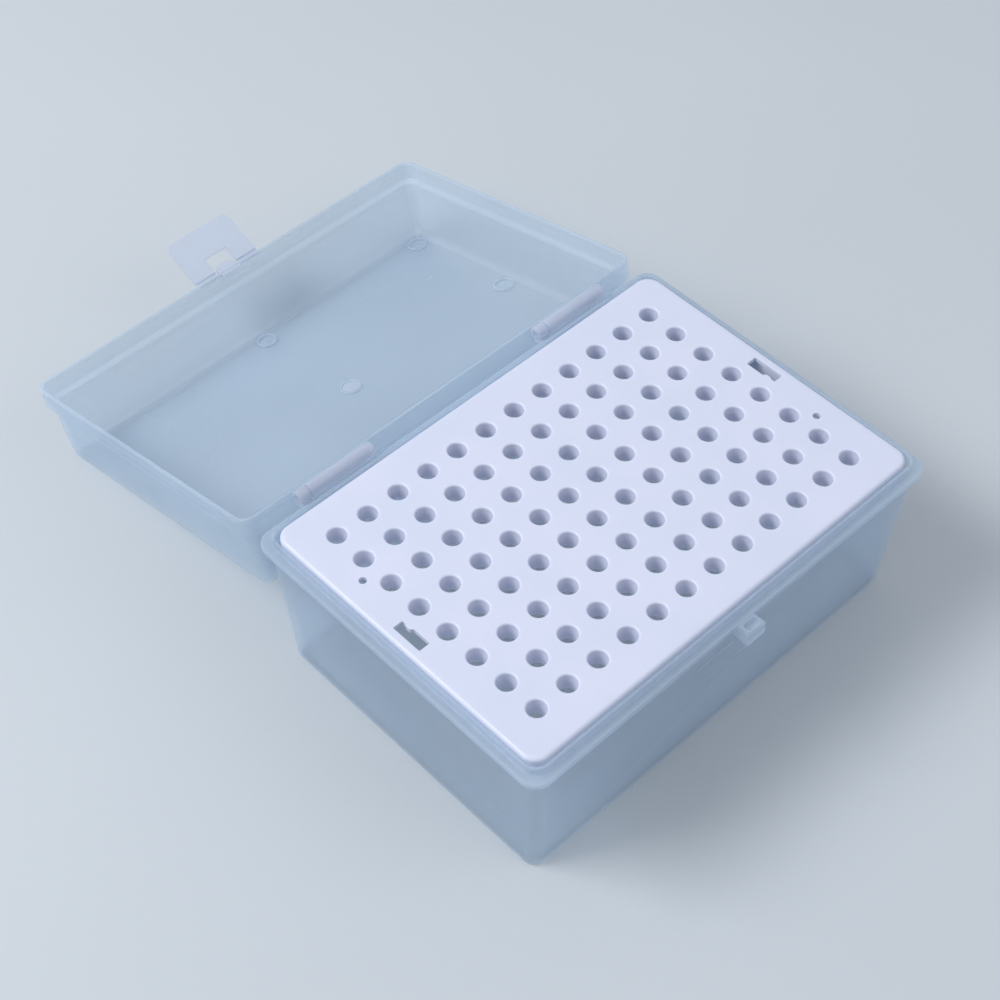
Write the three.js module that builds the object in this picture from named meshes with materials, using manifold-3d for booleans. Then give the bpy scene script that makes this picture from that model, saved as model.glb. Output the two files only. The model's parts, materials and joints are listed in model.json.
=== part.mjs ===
// A hinged 96-place laboratory storage box: a drafted polypropylene tub, a lift-out rack plate,
// a shallow lid that swings past flat on two pin hinges, and a latch flap on a living hinge.
// Millimetres, +Z up. Origin at the centre of the tub's underside. The lid is fully open.
import * as THREE from 'three';
import { mergeVertices } from 'three/addons/utils/BufferGeometryUtils.js';
import Module from 'manifold-3d';

const wasm = await Module();
wasm.setup();

// ---- driving dimensions ----
const PITCH = 9;
const COLUMNS = 12;
const ROWS = 8;

const RIM = { halfX: 62.85, halfY: 44.85, radius: 4.2, top: 41.6, thickness: 1.6 };
const COLLAR = { inset: 1.95, top: 43.6 };
const TUB = { topInset: 1.5, bottomInset: 4.0, radius: 3.4, edge: 1.5, wall: 1.2, floor: 1.2 };
const SEAT = { z: 37.6, outerInset: 2.75, innerInset: 4.0 };

const RACK = {
  halfX: 59.7, halfY: 41.5, radius: 4.0, top: 44.2, edge: 0.8, plate: 1.2, skirt: 1.6, lift: 0.3,
};
const WELL = { radius: 2.3, sides: 12, sleeve: 3.2, depth: 4.8, sleeveSides: 8 };
const SLOT = { x: 55.9, halfX: 1.5, halfY: 4.2 };
const DRAIN = { x: 53.7, y: 18.1, radius: 1.0, sides: 10 };

const LID = {
  halfX: 62.3, halfY: 44.6, radius: 4.0, depth: 22.0, edge: 1.5, innerEdge: 2.4, wall: 1.0, top: 1.2,
};
const SKIRT = { depth: 5.2, step: 0.7, inset: 1.35, draft: 0.1 };
const LID_DRAFT = 2.2;
const BOSS = { spacingX: 54, spacingY: 36, radius: 2.9, bore: 2.2, height: 0.8, sides: 16 };

const HINGE = { y: 46.7, z: 42.65, radius: 1.75, pin: 0.8, clearance: 0.06, sides: 16 };
const KNUCKLE = { startX: 26.0, lug: 3.0, length: 22.5, blindEnd: 1.4, endRound: 0.9 };
const LEAF = { inner: 0.9, bottom: -4.2, top: 0.6 };
const GAP = 0.3;

const CATCH = { halfX: 2.85, reach: 48.4, height: 3.9, wall: 0.9, pocket: 2.2, chamfer: 0.6 };
const LUG = { halfX: 2.9, inside: 0.4, reach: 4.1, top: 0.2, thickness: 2.0 };
const WEB = { inner: 3.7, outer: 9.8, length: 0.9, thickness: 0.4 };
const FLAP = { halfX: 10, start: 0.5, length: 13.6, below: 0.6, above: 0.3, radius: 2.2, restAngle: 36 };
const WINDOW = { halfX: 3.5, end: 5.2 };
const ROOT = { length: 1.9, above: 0.6 };

const CORNER_STEPS = 6;
const EDGE_STEPS = 3;

// ---- materials ----
const materialOf = (color, roughness, opacity = 1) => new THREE.MeshStandardMaterial({
  color, roughness, metalness: 0, transparent: opacity < 1, opacity,
});
const translucent = () => materialOf(0xc9d6e4, 0.35, 0.6);
const milky = () => materialOf(0xd9e2ee, 0.4, 0.85);
const whitePlate = () => materialOf(0xf1f1f8, 0.45);

// ---- solids ----
function solidOf(geometry) {
  const bare = geometry.clone();
  for (const name of ['normal', 'uv']) bare.deleteAttribute(name);
  const merged = mergeVertices(bare, 1e-5);
  return new wasm.Manifold(new wasm.Mesh({
    numProp: 3,
    vertProperties: new Float32Array(merged.attributes.position.array),
    triVerts: new Uint32Array(merged.index.array),
  }));
}

function geometryOf(solid) {
  const mesh = solid.getMesh();
  const geometry = new THREE.BufferGeometry();
  geometry.setAttribute('position', new THREE.BufferAttribute(new Float32Array(mesh.vertProperties), 3));
  geometry.setIndex(new THREE.BufferAttribute(new Uint32Array(mesh.triVerts), 1));
  geometry.computeVertexNormals();
  return geometry;
}

const join = (...geometries) => geometryOf(geometries.map(solidOf).reduce((a, b) => a.add(b)));
const cut = (...geometries) => geometryOf(geometries.map(solidOf).reduce((a, b) => a.subtract(b)));

function box(x0, x1, y0, y1, z0, z1) {
  return new THREE.BoxGeometry(x1 - x0, y1 - y0, z1 - z0)
    .translate((x0 + x1) / 2, (y0 + y1) / 2, (z0 + z1) / 2);
}

// A cylinder along X, centred on the X axis, from x0 to x1.
function rod(radius, x0, x1, sides = HINGE.sides) {
  return new THREE.CylinderGeometry(radius, radius, x1 - x0, sides)
    .rotateZ(Math.PI / 2)
    .translate((x0 + x1) / 2, 0, 0);
}

// A cylinder along Z standing at (x, y).
function post(radius, x, y, z0, z1, sides) {
  return new THREE.CylinderGeometry(radius, radius, z1 - z0, sides)
    .rotateX(Math.PI / 2)
    .translate(x, y, (z0 + z1) / 2);
}

// One horizontal outline of a rounded rectangle, counter-clockwise seen from above.
function outline({ halfX, halfY, radius, z }) {
  const points = [];
  const corners = [[1, 1], [-1, 1], [-1, -1], [1, -1]];
  corners.forEach(([signX, signY], quarter) => {
    for (let step = 0; step <= CORNER_STEPS; step += 1) {
      const angle = (quarter + step / CORNER_STEPS) * Math.PI / 2;
      points.push([
        signX * (halfX - radius) + radius * Math.cos(angle),
        signY * (halfY - radius) + radius * Math.sin(angle),
        z,
      ]);
    }
  });
  return points;
}

// A closed body through a chain of outlines, with a flat cap on the first and the last.
// The chain runs up the outside and down the inside of a thin-walled vessel.
function loft(sections) {
  const rings = sections.map(outline);
  const count = rings[0].length;
  const positions = rings.flat();
  const bottomCentre = positions.push([0, 0, sections[0].z]) - 1;
  const topCentre = positions.push([0, 0, sections.at(-1).z]) - 1;
  const index = [];
  for (let k = 0; k < count; k += 1) {
    const next = (k + 1) % count;
    index.push(bottomCentre, next, k);
    const last = (rings.length - 1) * count;
    index.push(topCentre, last + k, last + next);
    for (let ring = 0; ring < rings.length - 1; ring += 1) {
      const a = ring * count;
      const b = a + count;
      index.push(a + k, a + next, b + next, a + k, b + next, b + k);
    }
  }
  const geometry = new THREE.BufferGeometry();
  geometry.setAttribute('position', new THREE.Float32BufferAttribute(positions.flat(), 3));
  geometry.setIndex(index);
  geometry.computeVertexNormals();
  return geometry;
}

// Sections of a quarter-round edge between a flat face at z and a wall at the given inset.
function roundEdge(section, inset, z, radius, edge, zSign) {
  const sections = [];
  for (let step = 0; step <= EDGE_STEPS; step += 1) {
    const angle = (step / EDGE_STEPS) * Math.PI / 2;
    const pull = edge * (1 - Math.sin(angle));
    const rise = edge * (1 - Math.cos(angle));
    sections.push(section(inset + pull, z + zSign * rise, Math.max(radius - pull, 0.5)));
  }
  return sections;
}

const sectionsOf = (body) => (inset, z, radius) => ({
  halfX: body.halfX - inset, halfY: body.halfY - inset, radius, z,
});

// ---- base tub ----
function makeTub() {
  const section = sectionsOf(RIM);
  const flangeBottom = RIM.top - RIM.thickness;
  const seatRadius = RIM.radius - TUB.wall;
  const collarRadius = seatRadius + SEAT.outerInset - COLLAR.inset;
  const innerBottom = TUB.bottomInset + TUB.wall;
  return loft([
    ...roundEdge(section, TUB.bottomInset, 0, TUB.radius, TUB.edge, 1),
    section(TUB.topInset, flangeBottom, RIM.radius),
    section(0, flangeBottom, RIM.radius),
    section(0, RIM.top, RIM.radius),
    section(COLLAR.inset, RIM.top, collarRadius),
    section(COLLAR.inset, COLLAR.top, collarRadius),
    section(SEAT.outerInset, COLLAR.top, seatRadius),
    section(SEAT.outerInset, SEAT.z, seatRadius),
    section(SEAT.innerInset, SEAT.z, TUB.radius - TUB.wall),
    ...roundEdge(section, innerBottom, TUB.floor, TUB.radius - TUB.wall, TUB.wall, 1).reverse(),
  ]);
}

function makeCatch() {
  const root = RIM.halfY + GAP;
  const z0 = RIM.top - CATCH.height;
  const profile = new THREE.Shape([
    new THREE.Vector2(-root, z0),
    new THREE.Vector2(-root, RIM.top),
    new THREE.Vector2(-CATCH.reach + CATCH.chamfer, RIM.top),
    new THREE.Vector2(-CATCH.reach, RIM.top - CATCH.chamfer),
    new THREE.Vector2(-CATCH.reach, z0),
  ]);
  // The profile lies in the YZ plane and is extruded along X.
  const body = new THREE.ExtrudeGeometry(profile, { depth: 2 * CATCH.halfX, bevelEnabled: false });
  body.applyMatrix4(new THREE.Matrix4().makeBasis(
    new THREE.Vector3(0, 1, 0), new THREE.Vector3(0, 0, 1), new THREE.Vector3(1, 0, 0),
  ));
  body.translate(-CATCH.halfX, 0, 0);
  const pocketX = CATCH.halfX - CATCH.wall;
  return cut(body, box(
    -pocketX, pocketX, -CATCH.reach + CATCH.wall, -root + 1, RIM.top - CATCH.pocket, RIM.top + 1,
  ));
}

// ---- rack plate ----
function wellPositions() {
  const places = [];
  for (let column = 0; column < COLUMNS; column += 1) {
    for (let row = 0; row < ROWS; row += 1) {
      places.push([(column - (COLUMNS - 1) / 2) * PITCH, (row - (ROWS - 1) / 2) * PITCH]);
    }
  }
  return places;
}

function makeRack() {
  const section = sectionsOf(RACK);
  const underside = RACK.top - RACK.plate;
  const skirtBottom = SEAT.z + RACK.lift;
  const body = loft([
    section(RACK.skirt, underside, RACK.radius - RACK.skirt),
    section(RACK.skirt, skirtBottom, RACK.radius - RACK.skirt),
    section(0, skirtBottom, RACK.radius),
    ...roundEdge(section, 0, RACK.top, RACK.radius, RACK.edge, -1).reverse(),
  ]);
  const places = wellPositions();
  const foot = RACK.top - WELL.depth;
  const inPlate = underside + RACK.plate / 2;
  const sleeves = places.map(([x, y]) => post(WELL.sleeve, x, y, foot, inPlate, WELL.sleeveSides));
  const z0 = underside - 1;
  const z1 = RACK.top + 1;
  const wells = places.map(([x, y]) => post(WELL.radius, x, y, foot - 1, z1, WELL.sides));
  const trims = [1, -1].flatMap((side) => [
    box(side * SLOT.x - SLOT.halfX, side * SLOT.x + SLOT.halfX, -SLOT.halfY, SLOT.halfY, z0, z1),
    post(DRAIN.radius, side * DRAIN.x, -side * DRAIN.y, z0, z1, DRAIN.sides),
  ]);
  return cut(join(body, ...sleeves), ...wells, ...trims);
}

// ---- hinge, in a frame whose origin is on the hinge axis ----
// Each knuckle row starts with the tub's lug and goes on with the lid's barrel.
function makeHingeLug(x0) {
  const x1 = x0 + KNUCKLE.lug;
  const stem = box(
    x0, x1, RIM.halfY + GAP - HINGE.y, 0, RIM.top - RIM.thickness - HINGE.z, RIM.top - 0.1 - HINGE.z,
  );
  return cut(join(rod(HINGE.radius, x0, x1), stem), rod(HINGE.pin + HINGE.clearance, x0 - 1, x1 + 1));
}

function makeHingePin(x0) {
  return rod(HINGE.pin, x0 + 0.2, x0 + KNUCKLE.length - KNUCKLE.blindEnd - GAP);
}

function makeHingeBarrel(x0) {
  const start = x0 + KNUCKLE.lug + GAP;
  const end = x0 + KNUCKLE.length;
  const face = HINGE.y - LID.halfY;
  const radius = HINGE.radius;
  const profile = [
    new THREE.Vector2(0, start),
    new THREE.Vector2(radius, start),
    new THREE.Vector2(radius, end - KNUCKLE.endRound),
    new THREE.Vector2(radius - 0.25 * KNUCKLE.endRound, end - 0.3 * KNUCKLE.endRound),
    new THREE.Vector2(radius - KNUCKLE.endRound, end),
    new THREE.Vector2(0, end),
  ];
  const barrel = new THREE.LatheGeometry(profile, HINGE.sides).rotateZ(-Math.PI / 2);
  const leaf = box(start, end - KNUCKLE.endRound, LEAF.inner, face - GAP, LEAF.bottom, LEAF.top);
  return cut(
    join(barrel, leaf),
    rod(HINGE.pin + HINGE.clearance, start - 1, end - KNUCKLE.blindEnd),
  );
}

// ---- lid, in the hinge frame: +Y towards its free edge, +Z out of its open mouth ----
const LID_CENTRE_Y = HINGE.y;
const LID_RIM_Z = HINGE.z - (RIM.top + GAP);
const LID_EDGE_Y = LID_CENTRE_Y + LID.halfY;

function makeLid() {
  const section = sectionsOf(LID);
  const floorZ = -LID.depth;
  const inside = floorZ + LID.top;
  const innerFloor = LID_DRAFT + LID.wall;
  const shell = loft([
    ...roundEdge(section, LID_DRAFT, floorZ, LID.radius - 0.8, LID.edge, 1),
    section(SKIRT.inset, -SKIRT.depth - SKIRT.step, LID.radius - 0.4),
    section(SKIRT.draft, -SKIRT.depth, LID.radius),
    section(0, 0, LID.radius),
    section(LID.wall, 0, LID.radius - LID.wall),
    section(LID.wall + SKIRT.draft, -SKIRT.depth + LID.wall / 2, LID.radius - LID.wall),
    section(LID.wall + SKIRT.inset, -SKIRT.depth - SKIRT.step + LID.wall / 2, LID.radius - LID.wall - 0.4),
    ...roundEdge(section, innerFloor, inside, LID.radius - 0.8 - LID.wall, LID.innerEdge, 1).reverse(),
  ]);
  const rings = [-1, 0, 1].flatMap((column) => [-1, 0, 1].map((row) => {
    const x = column * BOSS.spacingX;
    const y = row * BOSS.spacingY;
    const disc = post(BOSS.radius, x, y, inside - LID.top / 2, inside + BOSS.height, BOSS.sides);
    return cut(disc, post(BOSS.bore, x, y, inside, inside + BOSS.height + 1, BOSS.sides));
  }));
  const notch = box(
    -LUG.halfX - GAP, LUG.halfX + GAP, LID.halfY - 2 * LID.wall, LID.halfY + 1,
    -LUG.top - LUG.thickness - GAP, 1,
  );
  const lid = cut(join(shell, ...rings), notch);
  return lid.translate(0, LID_CENTRE_Y, LID_RIM_Z);
}

// A round-ended block standing through a notch in the lid's free edge, above the tub's catch.
function makeLatchLug() {
  const shape = new THREE.Shape();
  const inner = LID_EDGE_Y - LID.wall - LUG.inside;
  const centre = LID_EDGE_Y + LUG.reach - LUG.halfX;
  shape.moveTo(-LUG.halfX, inner);
  shape.lineTo(LUG.halfX, inner);
  shape.lineTo(LUG.halfX, centre);
  shape.absarc(0, centre, LUG.halfX, 0, Math.PI, false);
  shape.closePath();
  return new THREE.ExtrudeGeometry(shape, { depth: LUG.thickness, bevelEnabled: false, curveSegments: 12 })
    .translate(0, 0, LID_RIM_Z - LUG.top - LUG.thickness);
}

function makeLatchWeb(side) {
  const [x0, x1] = [side * WEB.inner, side * WEB.outer].sort((a, b) => a - b);
  const y0 = LID_EDGE_Y + GAP;
  return box(x0, x1, y0, y0 + WEB.length, -WEB.thickness / 2, WEB.thickness / 2);
}

// ---- latch flap, in a frame whose origin is on the living hinge, +Y towards its free edge ----
function makeFlap() {
  const { halfX, start, length, radius } = FLAP;
  const shape = new THREE.Shape();
  shape.moveTo(WINDOW.halfX, start);
  shape.lineTo(halfX, start);
  shape.lineTo(halfX, length - radius);
  shape.absarc(halfX - radius, length - radius, radius, 0, Math.PI / 2, false);
  shape.absarc(-halfX + radius, length - radius, radius, Math.PI / 2, Math.PI, false);
  shape.lineTo(-halfX, start);
  shape.lineTo(-WINDOW.halfX, start);
  shape.lineTo(-WINDOW.halfX, WINDOW.end);
  shape.lineTo(WINDOW.halfX, WINDOW.end);
  shape.closePath();
  const plate = new THREE.ExtrudeGeometry(shape, {
    depth: FLAP.below + FLAP.above, bevelEnabled: false, curveSegments: 6,
  }).translate(0, 0, -FLAP.below);
  const roots = [1, -1].map((side) => {
    const [x0, x1] = [side * WINDOW.halfX, side * halfX].sort((a, b) => a - b);
    return box(x0, x1, start, start + ROOT.length, -FLAP.below, ROOT.above);
  });
  return join(plate, ...roots);
}

// ---- rest pose ----
// The open lid leans back until the round edge of its far side stands on the ground plane.
function openTilt() {
  const y = LID_EDGE_Y - LID_DRAFT - LID.edge;
  const drop = LID.depth - LID.edge - LID_RIM_Z;
  const height = HINGE.z - LID.edge - 0.1;
  return Math.asin(height / Math.hypot(y, drop)) - Math.atan2(drop, y);
}

// ---- assembly ----
function named(name, geometry, material) {
  const mesh = new THREE.Mesh(geometry, material);
  mesh.name = name;
  return mesh;
}

const box96 = new THREE.Group();
box96.add(named('base_tub', makeTub(), translucent()));
box96.add(named('front_catch', makeCatch(), milky()));
box96.add(named('rack_plate', makeRack(), whitePlate()));

const hingeAxis = new THREE.Group();
hingeAxis.position.set(0, HINGE.y, HINGE.z);
box96.add(hingeAxis);

const lid = new THREE.Group();
lid.rotation.x = -openTilt();
hingeAxis.add(lid);

const hingeStarts = { left: -KNUCKLE.startX - KNUCKLE.length, right: KNUCKLE.startX };
for (const [side, x0] of Object.entries(hingeStarts)) {
  hingeAxis.add(named(`hinge_lug_${side}`, makeHingeLug(x0), milky()));
  hingeAxis.add(named(`hinge_pin_${side}`, makeHingePin(x0), milky()));
  lid.add(named(`hinge_barrel_${side}`, makeHingeBarrel(x0), milky()));
}

lid.add(named('lid_shell', makeLid(), translucent()));
lid.add(named('latch_lug', makeLatchLug(), milky()));
lid.add(named('latch_web_left', makeLatchWeb(-1), milky()));
lid.add(named('latch_web_right', makeLatchWeb(1), milky()));

const latch = new THREE.Group();
latch.position.set(0, LID_EDGE_Y + GAP + WEB.length, 0);
latch.rotation.x = THREE.MathUtils.degToRad(FLAP.restAngle);
latch.add(named('latch_flap', makeFlap(), milky()));
lid.add(latch);

export default box96;
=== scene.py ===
"""Looks for a hinged 96-place laboratory storage box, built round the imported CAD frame.

A frosted polypropylene tub and lid, a white rack plate with sleeved wells, a thin latch flap on a
living hinge, and the raised marks that the moulds leave. Lengths below are millimetres.
"""
import json
import math

import bpy
from mathutils import Matrix, Vector


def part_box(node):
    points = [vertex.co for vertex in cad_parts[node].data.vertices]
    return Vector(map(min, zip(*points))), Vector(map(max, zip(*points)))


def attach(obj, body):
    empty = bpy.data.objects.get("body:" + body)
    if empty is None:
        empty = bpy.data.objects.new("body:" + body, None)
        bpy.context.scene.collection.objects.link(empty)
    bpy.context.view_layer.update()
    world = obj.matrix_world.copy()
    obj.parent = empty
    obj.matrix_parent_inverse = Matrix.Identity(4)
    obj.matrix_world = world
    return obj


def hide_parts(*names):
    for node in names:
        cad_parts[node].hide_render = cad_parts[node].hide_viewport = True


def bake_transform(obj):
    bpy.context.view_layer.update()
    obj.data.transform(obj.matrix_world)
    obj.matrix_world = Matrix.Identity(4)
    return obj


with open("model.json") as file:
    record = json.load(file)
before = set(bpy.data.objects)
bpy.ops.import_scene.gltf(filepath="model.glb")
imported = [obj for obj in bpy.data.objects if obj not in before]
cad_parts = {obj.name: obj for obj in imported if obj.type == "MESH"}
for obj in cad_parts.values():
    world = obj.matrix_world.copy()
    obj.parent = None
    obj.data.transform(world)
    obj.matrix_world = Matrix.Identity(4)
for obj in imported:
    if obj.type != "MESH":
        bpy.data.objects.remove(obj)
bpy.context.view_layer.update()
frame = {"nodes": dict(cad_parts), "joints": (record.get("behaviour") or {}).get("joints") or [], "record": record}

MM = 0.001


def node_box(name):
    """Lowest and highest corner of a CAD node, in millimetres."""
    low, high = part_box(name)
    return low / MM, high / MM


def joint_place(name):
    joint = next(j for j in frame["joints"] if j["name"] == name)
    return Vector(joint["pos_m"]) / MM


# ---- sizes that the frame gives ----
TUB_LOW, TUB_HIGH = node_box("base_tub")
RACK_LOW, RACK_HIGH = node_box("rack_plate")
CATCH_LOW, CATCH_HIGH = node_box("front_catch")
HINGE = joint_place("lid_hinge")
LATCH = joint_place("latch_living_hinge")
LID_UP = next(m for m in frame["record"]["mounts"] if m["name"] == "lid_top")["axis"]
OPEN_TILT = math.atan2(-LID_UP[1], -LID_UP[2])

# ---- driving dimensions ----
PITCH, COLUMNS, ROWS = 9.0, 12, 8
GAP = 0.3
RIM = {"top": CATCH_HIGH.z, "radius": 4.2, "thickness": 1.6}
COLLAR_INSET = 1.95
TUB = {"top_inset": 1.5, "bottom_inset": 4.0, "radius": 3.4, "edge": 1.5, "wall": 1.2, "floor": 1.2}
FOOT_BAND = 3.2
SEAT = {"z": 37.6, "outer_inset": 2.75, "inner_inset": 4.0}
RACK = {"radius": 4.0, "edge": 0.9, "plate": 1.2, "skirt": 1.6}
WELL = {"radius": 2.25, "taper": 0.2, "flare": 0.5, "sleeve": 3.2, "depth": 4.8}
SLOT = {"x": 55.9, "half_x": 1.5, "half_y": 4.2, "radius": 0.3, "key": 0.7}
DRAIN = {"x": 53.7, "y": 18.1, "radius": 0.95}
LID = {"half_x": 62.3, "half_y": 44.6, "radius": 4.0, "depth": 22.0, "edge": 1.5, "wall": 1.0, "top": 1.2}
LID_INNER_EDGE = 2.4
RIM_BAND = 1.3
LID_RIM = HINGE.z - (RIM["top"] + GAP)
SKIRT = {"depth": 5.2, "step": 0.7, "inset": 1.35, "draft": 0.1}
LID_DRAFT = 2.2
RING = {"spacing_x": 54.0, "spacing_y": 36.0, "radius": 2.9, "bore": 2.2, "height": 0.8}
GATE = {"x": 45.0, "y": 20.4, "radius": 0.9, "height": 0.3}
KNUCKLE = {"start": 26.0, "lug": 3.0, "length": 22.5, "blind": 1.4, "end_round": 0.9, "radius": 1.75}
PIN_BORE = 0.86
LEAF = {"inner": 0.9, "bottom": -4.2, "top": 0.6}
POCKET = {"wall": 1.0, "depth": 1.2}
LUG = {"half_x": 2.9, "inside": 0.4, "reach": 4.1, "top": 0.2, "thickness": 2.0}
WEB = {"inner": 3.7, "outer": 9.8, "thickness": 0.4, "root": 0.3}
FLAP = {"half_x": 10.0, "start": 0.5, "length": 13.6, "below": 0.6, "above": 0.3, "radius": 2.2}
FLAP_ANGLE = math.radians(36)
WINDOW = {"half_x": 3.5, "end": 5.2}
ROOT = {"length": 1.9, "above": 0.6}
WALL_MARKS = ((-12.2, -0.6, 32.2), (-13.4, 4.8, 24.9))
FLOOR_RADIUS = 6000

# ---- the photograph's viewpoint, in the row frame ----
CAMERA_PLACE = Vector((-216.25, -196.72, 394.12)) * MM
CAMERA_FORWARD = Vector((0.4390, 0.4636, -0.7697))
CAMERA_ROLL = math.radians(-0.12)
LENS, SENSOR = 73.34, 36.0

CORNER_STEPS = 14
# How milky the middle of each corner is made: a painted highlight down the corners of the frosted tub and lid.
CORNER_PAINTED_HIGHLIGHT = 0.8
SHARP_ANGLE = math.radians(40)


# ---- mesh code ----
def make_object(name, points, faces):
    """A mesh object from points in millimetres."""
    mesh = bpy.data.meshes.new(name)
    mesh.from_pydata([tuple(Vector(p) * MM) for p in points], [], faces)
    mesh.update()
    piece = bpy.data.objects.new(name, mesh)
    bpy.context.scene.collection.objects.link(piece)
    return piece


def corner_ring(half_x, half_y, radius, z):
    """A rounded rectangle, counter-clockwise seen from above."""
    ring = []
    for quarter, (sign_x, sign_y) in enumerate([(1, 1), (-1, 1), (-1, -1), (1, -1)]):
        for step in range(CORNER_STEPS + 1):
            angle = (quarter + step / CORNER_STEPS) * math.pi / 2
            ring.append((
                sign_x * (half_x - radius) + radius * math.cos(angle),
                sign_y * (half_y - radius) + radius * math.sin(angle),
                z,
            ))
    return ring


def corner_share():
    """For each point of a corner ring, how near it is to the middle of its corner, from 0 to 1."""
    return [math.sin(step / CORNER_STEPS * math.pi) for _ in range(4) for step in range(CORNER_STEPS + 1)]


def softened(profile, steps=4):
    """Rounds a profile of (inset, z, corner radius, fillet radius, edge) points and drops the fillets."""
    result = []
    for place, (inset, z, corner, fillet, edge) in enumerate(profile):
        here = Vector((inset, z, corner))
        if fillet == 0:
            result.append((here, edge))
            continue
        before = Vector(profile[place - 1][:3]) - here
        after = Vector(profile[place + 1][:3]) - here
        flat_before, flat_after = before.xy, after.xy
        turn = math.pi - flat_before.angle(flat_after)
        reach = fillet * math.tan(turn / 2)
        start = here + before * (reach / flat_before.length)
        end = here + after * (reach / flat_after.length)
        middle = (flat_before.normalized() + flat_after.normalized()).normalized()
        centre = here.xy + middle * (fillet / math.cos(turn / 2))
        for step in range(steps + 1):
            share = step / steps
            spot = centre + fillet * (start.xy - centre).slerp(end.xy - centre, share)
            result.append((Vector((spot.x, spot.y, start.z + (end.z - start.z) * share)), edge))
    return result


def vessel(name, half_x, half_y, profile):
    """A closed body swept round a rounded rectangle, with flat caps on its first and last ring.

    Its "edge" attribute is 1 where the moulding is thicker or turns a corner, and 0 on its flat walls. The frosted
    plastic turns milkier where it is high: real milkiness on the thicker rim, and a painted highlight on the
    rounded edges and down the corners.
    """
    soft = softened(profile)
    rings = [corner_ring(half_x - p.x, half_y - p.x, p.z, p.y) for p, _ in soft]
    count = len(rings[0])
    points = [point for ring in rings for point in ring]
    faces = [tuple(reversed(range(count)))]
    for level in range(len(rings) - 1):
        base = level * count
        for k in range(count):
            after = (k + 1) % count
            faces.append((base + k, base + after, base + count + after, base + count + k))
    last = (len(rings) - 1) * count
    faces.append(tuple(range(last, last + count)))
    body = make_object(name, points, faces)
    # Painted highlight: each corner is made milkier towards its middle, whitening a band down the corners.
    weights = [max(edge, CORNER_PAINTED_HIGHLIGHT * share) for _, edge in soft for share in corner_share()]
    body.data.attributes.new("edge", "FLOAT", "POINT").data.foreach_set("value", weights)
    return body


def lathe_parts(profile, sides, place=(0, 0)):
    """Points and faces of a body turned about a vertical line, from (radius, z) points going up."""
    points, faces = [], []
    for radius, z in profile:
        for k in range(sides):
            angle = 2 * math.pi * k / sides
            points.append((place[0] + radius * math.cos(angle), place[1] + radius * math.sin(angle), z))
    faces.append(tuple(reversed(range(sides))))
    for level in range(len(profile) - 1):
        base = level * sides
        for k in range(sides):
            after = (k + 1) % sides
            faces.append((base + k, base + after, base + sides + after, base + sides + k))
    last = (len(profile) - 1) * sides
    faces.append(tuple(range(last, last + sides)))
    return points, faces


def gathered(name, parts):
    """One object from several (points, faces) parts."""
    points, faces = [], []
    for part_points, part_faces in parts:
        offset = len(points)
        points += part_points
        faces += [tuple(k + offset for k in face) for face in part_faces]
    return make_object(name, points, faces)


def extrude_parts(outline, low, high):
    """Points and faces of a flat (x, y) outline, counter-clockwise, raised from low to high."""
    count = len(outline)
    points = [(x, y, low) for x, y in outline] + [(x, y, high) for x, y in outline]
    faces = [tuple(reversed(range(count))), tuple(range(count, 2 * count))]
    for k in range(count):
        after = (k + 1) % count
        faces.append((k, after, count + after, count + k))
    return points, faces


def arc(centre, radius, start, end, steps=8):
    """Points on an arc, with angles in quarter turns."""
    points = []
    for step in range(steps + 1):
        angle = (start + (end - start) * step / steps) * math.pi / 2
        points.append((centre[0] + radius * math.cos(angle), centre[1] + radius * math.sin(angle)))
    return points


def block_parts(x0, x1, y0, y1, z0, z1):
    return extrude_parts([(x0, y0), (x1, y0), (x1, y1), (x0, y1)], z0, z1)


def turned(part, matrix):
    """The same part with its points moved by a matrix."""
    points, faces = part
    return [tuple(matrix @ Vector(p)) for p in points], faces


def bevelled(piece, width, segments=3, angle=35):
    """Rounds a piece's edges where its faces meet more sharply than the angle, in degrees."""
    modifier = piece.modifiers.new("Edge round", "BEVEL")
    modifier.width = width * MM
    modifier.segments = segments
    modifier.limit_method = "ANGLE"
    modifier.angle_limit = math.radians(angle)
    return piece


def settled(piece):
    """Applies a piece's modifiers to its mesh."""
    graph = bpy.context.evaluated_depsgraph_get()
    mesh = bpy.data.meshes.new_from_object(piece.evaluated_get(graph))
    piece.modifiers.clear()
    piece.data = mesh
    mesh.name = piece.name
    return piece


def combined(piece, operation, *tools):
    """Joins tools to a piece with UNION, or cuts them out with DIFFERENCE.

    A joined tool keeps its material.
    """
    for tool in tools:
        modifier = piece.modifiers.new(operation, "BOOLEAN")
        modifier.operation = operation
        modifier.solver = "EXACT"
        modifier.material_mode = "TRANSFER"
        modifier.object = tool
    settled(piece)
    for tool in tools:
        bpy.data.objects.remove(tool)
    return piece


def painted(piece, material):
    piece.data.materials.clear()
    piece.data.materials.append(material)
    return piece


def finished(piece, body, slot, *nodes):
    """Smooths a piece's shading and hangs it on its CAD body."""
    piece.data.shade_smooth()
    piece.data.set_sharp_from_angle(angle=SHARP_ANGLE)
    modifier = piece.modifiers.new("Weighted normals", "WEIGHTED_NORMAL")
    modifier.keep_sharp = True
    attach(piece, body)
    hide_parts(*nodes)
    return piece


# ---- materials ----
# Milk added where the "edge" attribute is high: real milkiness on the thicker rim, and a painted highlight on the
# rounded edges and corners.
EDGE_MILK_AND_PAINTED_HIGHLIGHT = 0.22


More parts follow.
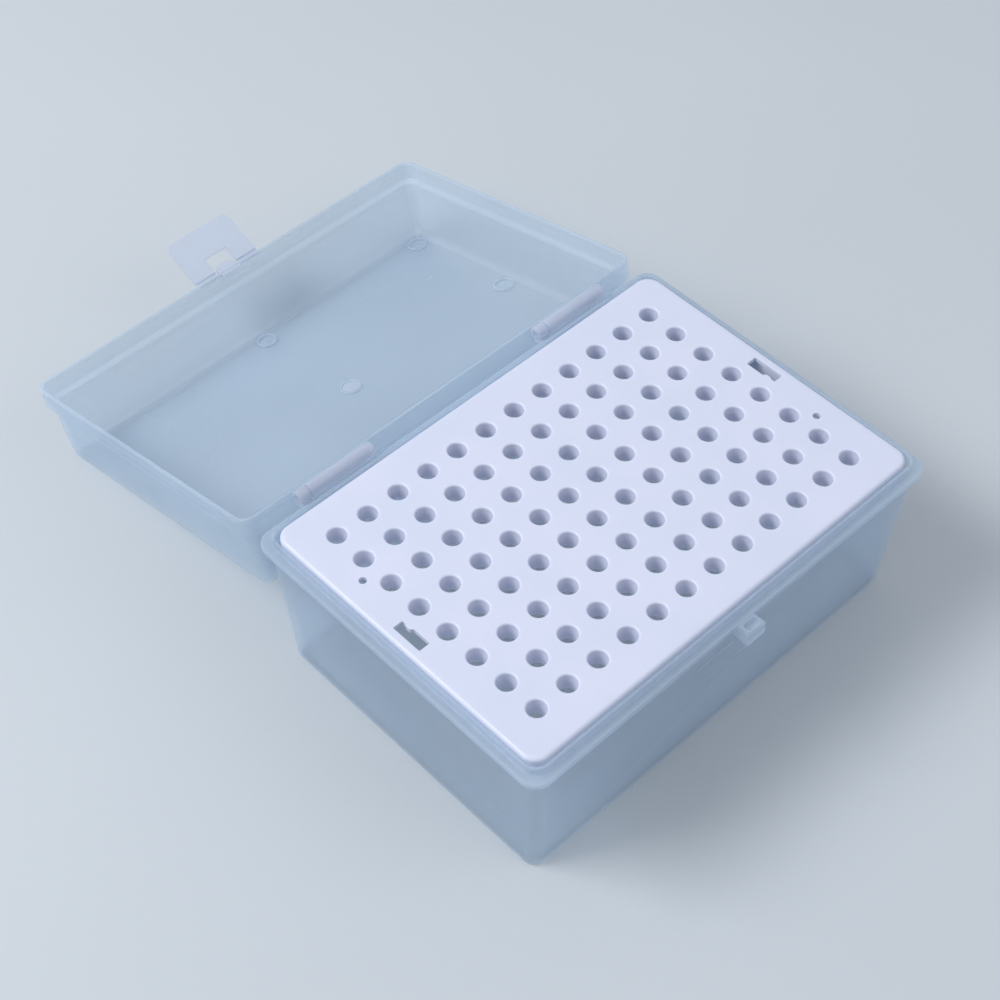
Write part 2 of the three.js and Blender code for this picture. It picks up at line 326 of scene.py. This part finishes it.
class Nodes:
    """Short calls for building a material's node tree."""

    def __init__(self, name):
        self.material = bpy.data.materials.new(name)
        self.material.use_nodes = True
        self.tree = self.material.node_tree
        self.tree.nodes.clear()
        self.coordinates = self.add("ShaderNodeTexCoord").outputs["Object"]

    def add(self, kind, **settings):
        node = self.tree.nodes.new(kind)
        for name, value in settings.items():
            setattr(node, name, value)
        return node

    def link(self, source, target):
        self.tree.links.new(source, target)

    def noise(self, size, detail=3.0, stretch=(1, 1, 1), roughness=0.5):
        """Noise whose features are about size millimetres across."""
        mapping = self.add("ShaderNodeMapping")
        mapping.inputs["Scale"].default_value = stretch
        self.link(self.coordinates, mapping.inputs["Vector"])
        noise = self.add("ShaderNodeTexNoise")
        noise.inputs["Scale"].default_value = 1 / (size * MM)
        noise.inputs["Detail"].default_value = detail
        noise.inputs["Roughness"].default_value = roughness
        self.link(mapping.outputs["Vector"], noise.inputs["Vector"])
        return noise.outputs["Fac"]

    def ramp(self, source, low, high, start=0.35, end=0.65):
        """Maps a value from start..end to low..high, which are numbers."""
        node = self.add("ShaderNodeMapRange", clamp=True)
        node.inputs["From Min"].default_value = start
        node.inputs["From Max"].default_value = end
        node.inputs["To Min"].default_value = low
        node.inputs["To Max"].default_value = high
        self.link(source, node.inputs["Value"])
        return node.outputs["Result"]

    def blend_colours(self, factor, first, second):
        node = self.add("ShaderNodeMix", data_type="RGBA")
        node.inputs["A"].default_value = (*first, 1)
        node.inputs["B"].default_value = (*second, 1)
        self.link(factor, node.inputs["Factor"])
        return node.outputs["Result"]

    def bump(self, *heights):
        """Bump from (value, height in millimetres) pairs, one on top of the other."""
        normal = None
        for value, height in heights:
            node = self.add("ShaderNodeBump")
            node.inputs["Strength"].default_value = 1.0
            node.inputs["Distance"].default_value = height * MM
            self.link(value, node.inputs["Height"])
            if normal is not None:
                self.link(normal, node.inputs["Normal"])
            normal = node.outputs["Normal"]
        return normal

    def output(self, shader):
        target = self.add("ShaderNodeOutputMaterial")
        self.link(shader, target.inputs["Surface"])
        return self.material


def frosted_plastic(name, milk, tint, haze, roughness):
    """Natural polypropylene: see-through with a milky haze and a soft, faintly scuffed gloss.

    milk is how much of the surface is solid white haze, tint its colour, haze how far that share
    drifts over the wall, and roughness the gloss. Thicker places are milkier, as in real PP, and the
    rounded edges and corners are made milkier too, as a painted highlight.
    """
    nodes = Nodes(name)
    clouds = nodes.noise(60, 1)
    scuffs = nodes.noise(9, 3, roughness=0.6)
    edge = nodes.add("ShaderNodeAttribute", attribute_name="edge").outputs["Fac"]
    darker = tuple(0.93 * c for c in tint)
    colour = nodes.blend_colours(nodes.ramp(clouds, 0, 1), darker, tint)

    body = nodes.add("ShaderNodeBsdfPrincipled")
    body.inputs["IOR"].default_value = 1.49
    body.inputs["Transmission Weight"].default_value = 0.35
    body.inputs["Specular IOR Level"].default_value = 0.5
    nodes.link(colour, body.inputs["Base Color"])
    nodes.link(nodes.ramp(scuffs, roughness, roughness + 0.14), body.inputs["Roughness"])

    glow = nodes.add("ShaderNodeBsdfTranslucent")
    nodes.link(colour, glow.inputs["Color"])
    milky = nodes.add("ShaderNodeMixShader")
    milky.inputs["Fac"].default_value = 0.35
    nodes.link(body.outputs["BSDF"], milky.inputs[1])
    nodes.link(glow.outputs["BSDF"], milky.inputs[2])

    clear = nodes.add("ShaderNodeBsdfTransparent")
    clear.inputs["Color"].default_value = (0.94, 0.965, 0.985, 1)
    # Painted highlight: the "edge" attribute whitens the rounded edges and corners; on the thicker rim the added
    # milk is also real.
    milk_and_painted_highlight = nodes.add("ShaderNodeMath", operation="MULTIPLY_ADD")
    milk_and_painted_highlight.inputs[1].default_value = EDGE_MILK_AND_PAINTED_HIGHLIGHT
    nodes.link(edge, milk_and_painted_highlight.inputs[0])
    nodes.link(nodes.ramp(clouds, milk - haze, milk + haze), milk_and_painted_highlight.inputs[2])
    mix = nodes.add("ShaderNodeMixShader")
    nodes.link(milk_and_painted_highlight.outputs["Value"], mix.inputs["Fac"])
    nodes.link(clear.outputs["BSDF"], mix.inputs[1])
    nodes.link(milky.outputs["Shader"], mix.inputs[2])
    return nodes.output(mix.outputs["Shader"])


def white_plastic():
    """The opaque rack plate: a cool lavender white with a satin, faintly spark-eroded surface."""
    nodes = Nodes("rack_white")
    clouds = nodes.noise(22, 3)
    grain = nodes.noise(0.35, 2)
    flow = nodes.noise(5, 4, stretch=(0.25, 1, 1))
    colour = nodes.blend_colours(nodes.ramp(clouds, 0, 1), (0.61, 0.635, 0.755), (0.635, 0.65, 0.77))
    body = nodes.add("ShaderNodeBsdfPrincipled")
    body.inputs["IOR"].default_value = 1.49
    body.inputs["Subsurface Weight"].default_value = 0.25
    body.inputs["Subsurface Radius"].default_value = (1.0, 1.0, 1.0)
    body.inputs["Subsurface Scale"].default_value = 1.2 * MM
    nodes.link(colour, body.inputs["Base Color"])
    nodes.link(nodes.ramp(flow, 0.38, 0.5), body.inputs["Roughness"])
    nodes.link(nodes.bump((grain, 0.01), (flow, 0.03)), body.inputs["Normal"])
    return nodes.output(body.outputs["BSDF"])


def floor_finish():
    """A plain pale matt table top."""
    nodes = Nodes("floor_pale")
    clouds = nodes.noise(160, 2)
    grain = nodes.noise(1.5, 3)
    colour = nodes.blend_colours(nodes.ramp(clouds, 0, 1), (0.52, 0.55, 0.575), (0.535, 0.565, 0.59))
    body = nodes.add("ShaderNodeBsdfPrincipled")
    body.inputs["Specular IOR Level"].default_value = 0.25
    nodes.link(colour, body.inputs["Base Color"])
    nodes.link(nodes.ramp(grain, 0.6, 0.75), body.inputs["Roughness"])
    nodes.link(nodes.bump((grain, 0.02)), body.inputs["Normal"])
    return nodes.output(body.outputs["BSDF"])


# ---- hinge frame: origin on the axis, +Y towards the lid's free edge, +Z out of its open mouth ----
TO_HINGE = Matrix.Translation(HINGE)
TO_LID = TO_HINGE @ Matrix.Rotation(-OPEN_TILT, 4, "X")
LID_EDGE = HINGE.y + LID["half_y"]
LATCH_Y = (Matrix.Rotation(OPEN_TILT, 4, "X") @ (LATCH - HINGE)).y
TO_FLAP = TO_LID @ Matrix.Translation((0, LATCH_Y, 0)) @ Matrix.Rotation(FLAP_ANGLE, 4, "X")
ALONG_X = Matrix.Rotation(math.pi / 2, 4, "Y")


def rod_parts(profile, sides=32):
    """A body turned about the X axis, from (radius, x) points going towards +X."""
    return turned(lathe_parts(profile, sides), ALONG_X)


def knuckle_starts():
    """Where each of the two knuckle rows starts: the lug is at its -X end."""
    return [-KNUCKLE["start"] - KNUCKLE["length"], KNUCKLE["start"]]


# ---- base tub ----
def tub_lean():
    """How far the tub's outer wall leans out for each millimetre of height."""
    return (TUB["bottom_inset"] - TUB["top_inset"]) / (RIM["top"] - RIM["thickness"])


def tub_profile():
    flange = RIM["top"] - RIM["thickness"]
    inner = TUB["bottom_inset"] + TUB["wall"]
    corner, seat_corner = RIM["radius"], RIM["radius"] - TUB["wall"]
    collar_corner = seat_corner + SEAT["outer_inset"] - COLLAR_INSET
    floor_corner = TUB["radius"] - TUB["wall"]
    foot = TUB["bottom_inset"] - tub_lean() * FOOT_BAND
    # The last column is how much the frosted plastic whitens: on the rim it is the real milkiness of the thicker
    # flange, and on the fillets and the foot's edge it is a painted highlight.
    return [
        (TUB["bottom_inset"] + 3, 0, TUB["radius"] - 1.5, 0, 0),
        (TUB["bottom_inset"], 0, TUB["radius"], TUB["edge"], 0.7),
        (foot, FOOT_BAND, TUB["radius"], 0, 0),
        (TUB["top_inset"], flange, corner, 0.3, 0.2),
        (0, flange, corner, 0.35, 1),
        (0, RIM["top"], corner, 0.35, 1),
        (COLLAR_INSET, RIM["top"], collar_corner, 0.3, 0.9),
        (COLLAR_INSET, TUB_HIGH.z, collar_corner, 0.2, 0.5),
        (SEAT["outer_inset"], TUB_HIGH.z, seat_corner, 0.2, 0.5),
        (SEAT["outer_inset"], SEAT["z"], seat_corner, 0.3, 0.3),
        (SEAT["inner_inset"], SEAT["z"], floor_corner, 0.3, 0.3),
        (SEAT["inner_inset"] + 0.05, SEAT["z"] - 1, floor_corner, 0, 0),
        (inner, TUB["floor"], floor_corner, TUB["wall"], 0.2),
        (inner + 2, TUB["floor"], floor_corner - 1, 0, 0),
    ]


def catch_piece():
    """The hollow catch under the rim's front edge, open at the top."""
    half_x, reach = CATCH_HIGH.x, CATCH_LOW.y
    root = TUB_LOW.y + 0.6
    bottom, top = CATCH_LOW.z, CATCH_HIGH.z - 0.02
    body = gathered("catch", [block_parts(-half_x, half_x, reach, root, bottom, top)])
    settled(bevelled(body, 0.45))
    inner = half_x - POCKET["wall"]
    pocket = gathered("pocket", [block_parts(
        -inner, inner, reach + POCKET["wall"], root - 1.2, top - POCKET["depth"], top + 1,
    )])
    settled(bevelled(pocket, 0.6))
    return combined(body, "DIFFERENCE", pocket)


def lug_parts(x0):
    """One of the tub's two hinge lugs: a stem off the rim with a round eye."""
    x1 = x0 + KNUCKLE["lug"]
    eye = rod_parts([(KNUCKLE["radius"], x0), (KNUCKLE["radius"], x1)])
    stem = block_parts(x0, x1, TUB_HIGH.y - 0.4 - HINGE.y, 0.2, -2.6, -1.15)
    return eye, stem


def wall_mark_parts(x0, x1, z):
    """A thin raised line on the front wall, which leans in towards the tub's foot."""
    wall = TUB_LOW.y + TUB["top_inset"] + tub_lean() * (RIM["top"] - RIM["thickness"] - z)
    return block_parts(x0, x1, wall - 0.18, wall + 0.4, z - 0.25, z + 0.25)


def make_tub(frosted, milky):
    tub = painted(vessel("tub", TUB_HIGH.x, TUB_HIGH.y, tub_profile()), frosted)
    tools = []
    for place, x0 in enumerate(knuckle_starts()):
        eye, stem = (gathered(f"lug{place}", [turned(part, TO_HINGE)]) for part in lug_parts(x0))
        tools += [settled(bevelled(eye, 0.25)), settled(bevelled(stem, 0.2))]
    marks = [wall_mark_parts(*mark) for mark in WALL_MARKS]
    front = [catch_piece(), settled(bevelled(gathered("marks", marks), 0.12))]
    tools = [painted(tool, milky) for tool in tools] + [painted(tool, frosted) for tool in front]
    combined(tub, "UNION", *tools)
    bores = [
        turned(rod_parts([(PIN_BORE, x0 - 1), (PIN_BORE, x0 + KNUCKLE["lug"] + 1)]), TO_HINGE)
        for x0 in knuckle_starts()
    ]
    combined(tub, "DIFFERENCE", painted(gathered("bores", bores), milky))
    return finished(
        tub, "base", "frosted_pp", "base_tub", "front_catch", "hinge_lug_left", "hinge_lug_right",
    )


# ---- rack plate ----
def well_places():
    return [
        ((column - (COLUMNS - 1) / 2) * PITCH, (row - (ROWS - 1) / 2) * PITCH)
        for column in range(COLUMNS) for row in range(ROWS)
    ]


def well_profile(top):
    """The bore of a well, going up: straight, then flared softly into the plate's top face."""
    radius, flare = WELL["radius"], WELL["flare"]
    steps = 6
    profile = [(radius - WELL["taper"], top - WELL["depth"] - 1)]
    for step in range(steps + 1):
        angle = step / steps * math.pi / 2
        profile.append((radius + flare * (1 - math.cos(angle)), top - flare * (1 - math.sin(angle))))
    profile.append((radius + flare, top + 1))
    return profile


def slot_parts(side, low, high):
    """A slot near each short side, with a small key stepping into its inner long side."""
    half_x, half_y, radius, key = SLOT["half_x"], SLOT["half_y"], SLOT["radius"], SLOT["key"]
    outline = [
        *arc((half_x - radius, -half_y + radius), radius, 3, 4, 4),
        (half_x, 0.8),
        (half_x - key, 1.4),
        (half_x - key, 2.6),
        (half_x - key / 2, 3.2),
        *arc((half_x - key / 2 - radius, half_y - radius), radius, 0, 1, 4),
        *arc((-half_x + radius, half_y - radius), radius, 1, 2, 4),
        *arc((-half_x + radius, -half_y + radius), radius, 2, 3, 4),
    ]
    turn = Matrix.Rotation(0 if side < 0 else math.pi, 4, "Z")
    return turned(extrude_parts(outline, low, high), Matrix.Translation((side * SLOT["x"], 0, 0)) @ turn)


def make_rack(material):
    top, bottom = RACK_HIGH.z, RACK_LOW.z
    underside = top - RACK["plate"]
    corner = RACK["radius"]
    rack = vessel("rack", RACK_HIGH.x, RACK_HIGH.y, [
        (RACK["skirt"] + 2, underside, corner - RACK["skirt"] - 1, 0, 0),
        (RACK["skirt"], underside, corner - RACK["skirt"], 0.4, 0),
        (RACK["skirt"], bottom, corner - RACK["skirt"], 0.3, 0),
        (0, bottom, corner, 0.3, 0),
        (0, top, corner, RACK["edge"], 0),
        (RACK["edge"] + 1, top, corner - 1.5, 0, 0),
    ])
    foot = top - WELL["depth"]
    sleeve = [
        (WELL["sleeve"] - 0.3, foot), (WELL["sleeve"], foot + 0.3),
        (WELL["sleeve"], underside + RACK["plate"] / 2),
    ]
    combined(rack, "UNION", gathered("sleeves", [lathe_parts(sleeve, 24, p) for p in well_places()]))
    profile = well_profile(top)
    drain = [(DRAIN["radius"], underside - 1), (DRAIN["radius"], top + 1)]
    cutters = [lathe_parts(profile, 32, place) for place in well_places()]
    for side in (1, -1):
        cutters.append(slot_parts(side, underside - 1, top + 1))
        cutters.append(lathe_parts(drain, 24, (side * DRAIN["x"], -side * DRAIN["y"])))
    combined(rack, "DIFFERENCE", gathered("cutters", cutters))
    return finished(painted(rack, material), "rack", "white_plate", "rack_plate")


# ---- lid ----
def lid_profile():
    wall, corner = LID["wall"], LID["radius"]
    floor, inside = -LID["depth"], -LID["depth"] + LID["top"]
    step = -SKIRT["depth"] - SKIRT["step"]
    inner = LID_DRAFT + wall
    # The last column whitens the frosted plastic: a painted highlight along the rim, the skirt's step and the
    # rounded edges.
    return [
        (LID_DRAFT + 3, floor, corner - 1.6, 0, 0),
        (LID_DRAFT, floor, corner - 0.8, LID["edge"], 0.5),
        (SKIRT["inset"], step, corner - 0.4, 0.25, 0.6),
        (SKIRT["draft"], -SKIRT["depth"], corner, 0.3, 0.6),
        (0, -RIM_BAND, corner, 0, 0.1),
        (0, 0, corner, 0.35, 1),
        (wall, 0, corner - wall, 0.35, 1),
        (wall, -RIM_BAND, corner - wall, 0, 0.1),
        (wall + SKIRT["draft"], -SKIRT["depth"] + wall / 2, corner - wall, 0.3, 0.6),
        (wall + SKIRT["inset"], step + wall / 2, corner - wall - 0.4, 0.3, 0.6),
        (wall + SKIRT["inset"] + 0.1, step - 1.5, corner - wall - 0.4, 0, 0),
        (inner, inside, corner - 0.8 - wall, LID_INNER_EDGE, 0.25),
        (inner + 4, inside, 0.5, 0, 0),
    ]


def ring_parts(x, y, inside):
    """A low raised ring on the inside of the lid's top."""
    outer, bore, height = RING["radius"], RING["bore"], RING["height"]
    profile = [
        (outer, inside - 0.5), (outer, inside + height - 0.25), (outer - 0.25, inside + height),
        (bore + 0.2, inside + height), (bore, inside + height - 0.2), (bore, inside + 0.1),
    ]
    return lathe_parts(profile, 32, (x, y))


def barrel_piece(name, x0):
    """One of the lid's two hinge barrels with the leaf that carries it."""
    start, end = x0 + KNUCKLE["lug"] + GAP, x0 + KNUCKLE["length"]
    radius, end_round = KNUCKLE["radius"], KNUCKLE["end_round"]
    profile = [(radius - 0.2, start), (radius, start + 0.2)]
    for step in range(6):
        angle = step / 5 * math.pi / 2
        profile.append((radius - end_round * (1 - math.cos(angle)), end - end_round * (1 - math.sin(angle))))
    barrel = gathered(name, [rod_parts(profile)])
    face = HINGE.y - LID["half_y"]
    leaf = gathered(f"{name}_leaf", [
        block_parts(start, end - end_round, LEAF["inner"], face + 0.5, LEAF["bottom"], LEAF["top"]),
    ])
    return combined(barrel, "UNION", settled(bevelled(leaf, 0.3)))


def lug_outline(inner, tip, half_x):
    return [(-half_x, inner), (half_x, inner), *arc((0, tip - half_x), half_x, 0, 2, 16)]


def make_lid(frosted, milky):
    lid = painted(vessel("lid", LID["half_x"], LID["half_y"], lid_profile()), frosted)
    inside = -LID["depth"] + LID["top"]
    rings = [
        ring_parts(column * RING["spacing_x"], row * RING["spacing_y"], inside)
        for column in (-1, 0, 1) for row in (-1, 0, 1)
    ]
    gate = GATE["radius"]
    rings.append(lathe_parts(
        [(gate, inside - 0.5), (gate, inside + 0.1), (gate - 0.3, inside + GATE["height"])],
        24, (GATE["x"], GATE["y"]),
    ))
    sprue = RING["bore"] + 0.3
    dish = lathe_parts([(sprue, inside - 0.5), (sprue, inside + 0.3), (sprue - 0.2, inside + 0.4)], 32)
    combined(
        lid, "UNION", painted(gathered("rings", rings), frosted), painted(gathered("sprue", [dish]), milky),
    )
    lid.data.transform(Matrix.Translation(Vector((0, HINGE.y, LID_RIM)) * MM))

    top = LID_RIM - LUG["top"]
    outline = lug_outline(LID_EDGE - LID["wall"] - LUG["inside"], LID_EDGE + LUG["reach"], LUG["half_x"])
    lug = gathered("lug", [extrude_parts(outline, top - LUG["thickness"], top)])
    tools = [settled(bevelled(lug, 0.35))]
    tools += [barrel_piece(f"barrel{place}", x0) for place, x0 in enumerate(knuckle_starts())]
    combined(lid, "UNION", *[painted(tool, milky) for tool in tools])
    bores = []
    for x0 in knuckle_starts():
        start, end = x0 + KNUCKLE["lug"], x0 + KNUCKLE["length"] - KNUCKLE["blind"]
        bores.append(rod_parts([(PIN_BORE, start), (PIN_BORE, end)]))
    combined(lid, "DIFFERENCE", painted(gathered("bores", bores), milky))
    lid.data.transform(Matrix.Translation(HINGE * MM) @ Matrix.Rotation(-OPEN_TILT, 4, "X"))
    return finished(
        lid, "lid", "frosted_pp", "lid_shell", "latch_lug", "hinge_barrel_left", "hinge_barrel_right",
    )


# ---- latch ----
def make_web(side, name, material):
    """The thin living hinge beside the lug, which bends between the lid and the flap."""
    x0, x1 = sorted((side * WEB["inner"], side * WEB["outer"]))
    start = LID_EDGE - WEB["root"] - LATCH_Y
    end = FLAP["start"] + 0.2
    straight, steps = 0.25, 10
    half = WEB["thickness"] / 2
    spine = [((start, 0.0), 0.0), ((-straight, 0.0), 0.0)]
    spine += [
        ((-straight + 2 * straight * k / steps * math.cos(FLAP_ANGLE * k / steps / 2),
          2 * straight * k / steps * math.sin(FLAP_ANGLE * k / steps / 2)), FLAP_ANGLE * k / steps)
        for k in range(1, steps)
    ]
    reach = Vector((math.cos(FLAP_ANGLE), math.sin(FLAP_ANGLE)))
    spine += [(tuple(reach * straight), FLAP_ANGLE), (tuple(reach * end), FLAP_ANGLE)]
    upper = [(y - half * math.sin(a), z + half * math.cos(a)) for (y, z), a in spine]
    lower = [(y + half * math.sin(a), z - half * math.cos(a)) for (y, z), a in spine]
    outline = lower + upper[::-1]
    # The outline lies in the YZ plane and is raised along X.
    points, faces = extrude_parts(outline, x0, x1)
    points = [(z, x, y) for x, y, z in points]
    to_web = TO_LID @ Matrix.Translation((0, LATCH_Y, 0))
    web = gathered(name, [turned((points, faces), to_web)])
    web.data.shade_smooth()
    web.data.set_sharp_from_angle(angle=SHARP_ANGLE)
    web.data.materials.append(material)
    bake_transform(web)
    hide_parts(f"latch_web_{'left' if side < 0 else 'right'}")
    return web


def make_flap(material):
    half_x, start, length, radius = (FLAP[k] for k in ("half_x", "start", "length", "radius"))
    window = WINDOW["half_x"]
    outline = [
        (window, start), (half_x, start),
        *arc((half_x - radius, length - radius), radius, 0, 1),
        *arc((-half_x + radius, length - radius), radius, 1, 2),
        (-half_x, start), (-window, start), (-window, WINDOW["end"]), (window, WINDOW["end"]),
    ]
    flap = gathered("latch_tab", [extrude_parts(outline, -FLAP["below"], FLAP["above"])])
    roots = []
    for side in (1, -1):
        x0, x1 = sorted((side * window, side * half_x))
        root = gathered(f"root{side}", [block_parts(
            x0, x1, start, start + ROOT["length"], -FLAP["below"], ROOT["above"],
        )])
        roots.append(root)
    combined(flap, "UNION", *roots)
    settled(bevelled(flap, 0.22))
    matrix = TO_FLAP.copy()
    matrix.translation *= MM
    flap.data.transform(matrix)
    return finished(painted(flap, material), "latch", "milky_pp", "latch_flap")


# ---- stage ----
def make_stage():
    ring = arc((0, 0), FLOOR_RADIUS, 0, 4, 96)[:-1]
    floor = make_object("floor", [(x, y, 0) for x, y in ring], [tuple(range(len(ring)))])
    floor.data.materials.append(floor_finish())


def add_light(name, place, target, size, power, colour):
    light = bpy.data.lights.new(name, "AREA")
    light.shape = "RECTANGLE"
    light.size, light.size_y = size
    light.energy = power
    light.color = colour
    lamp = bpy.data.objects.new(name, light)
    bpy.context.scene.collection.objects.link(lamp)
    lamp.location = place
    lamp.rotation_euler = (Vector(target) - Vector(place)).to_track_quat("-Z", "Y").to_euler()


def make_lights():
    middle = (0, 0.04, 0.02)
    add_light("key", (-0.75, 0.55, 1.0), middle, (0.7, 0.5), 13, (0.96, 0.98, 1.0))
    add_light("fill", (0.5, -0.9, 1.0), middle, (1.0, 0.8), 3.0, (0.93, 0.96, 1.0))
    world = bpy.data.worlds.new("soft studio")
    world.use_nodes = True
    background = world.node_tree.nodes["Background"]
    background.inputs["Color"].default_value = (0.86, 0.92, 1.0, 1)
    background.inputs["Strength"].default_value = 0.62
    bpy.context.scene.world = world


def make_camera():
    data = bpy.data.cameras.new("camera")
    data.lens = LENS
    data.sensor_width = SENSOR
    data.clip_start, data.clip_end = 0.01, 20
    camera = bpy.data.objects.new("camera", data)
    bpy.context.scene.collection.objects.link(camera)
    camera.location = CAMERA_PLACE
    look = CAMERA_FORWARD.to_track_quat("-Z", "Y").to_matrix().to_4x4()
    camera.rotation_euler = (look @ Matrix.Rotation(CAMERA_ROLL, 4, "Z")).to_euler()
    bpy.context.scene.camera = camera


# ---- assembly ----
frosted = frosted_plastic("pp_frosted", 0.3, (0.74, 0.83, 0.93), 0.03, 0.31)
milky = frosted_plastic("pp_milky", 0.62, (0.81, 0.84, 0.93), 0.04, 0.31)
make_tub(frosted, milky)
make_rack(white_plastic())
make_lid(frosted, milky)
make_web(-1, "latch_web_l", milky)
make_web(1, "latch_web_r", milky)
make_flap(milky)
for pin in ("hinge_pin_left", "hinge_pin_right"):
    node = frame["nodes"][pin]
    node.data.materials.clear()
    node.data.materials.append(milky)
make_stage()
make_lights()
make_camera()
bpy.context.scene.view_settings.view_transform = "Standard"
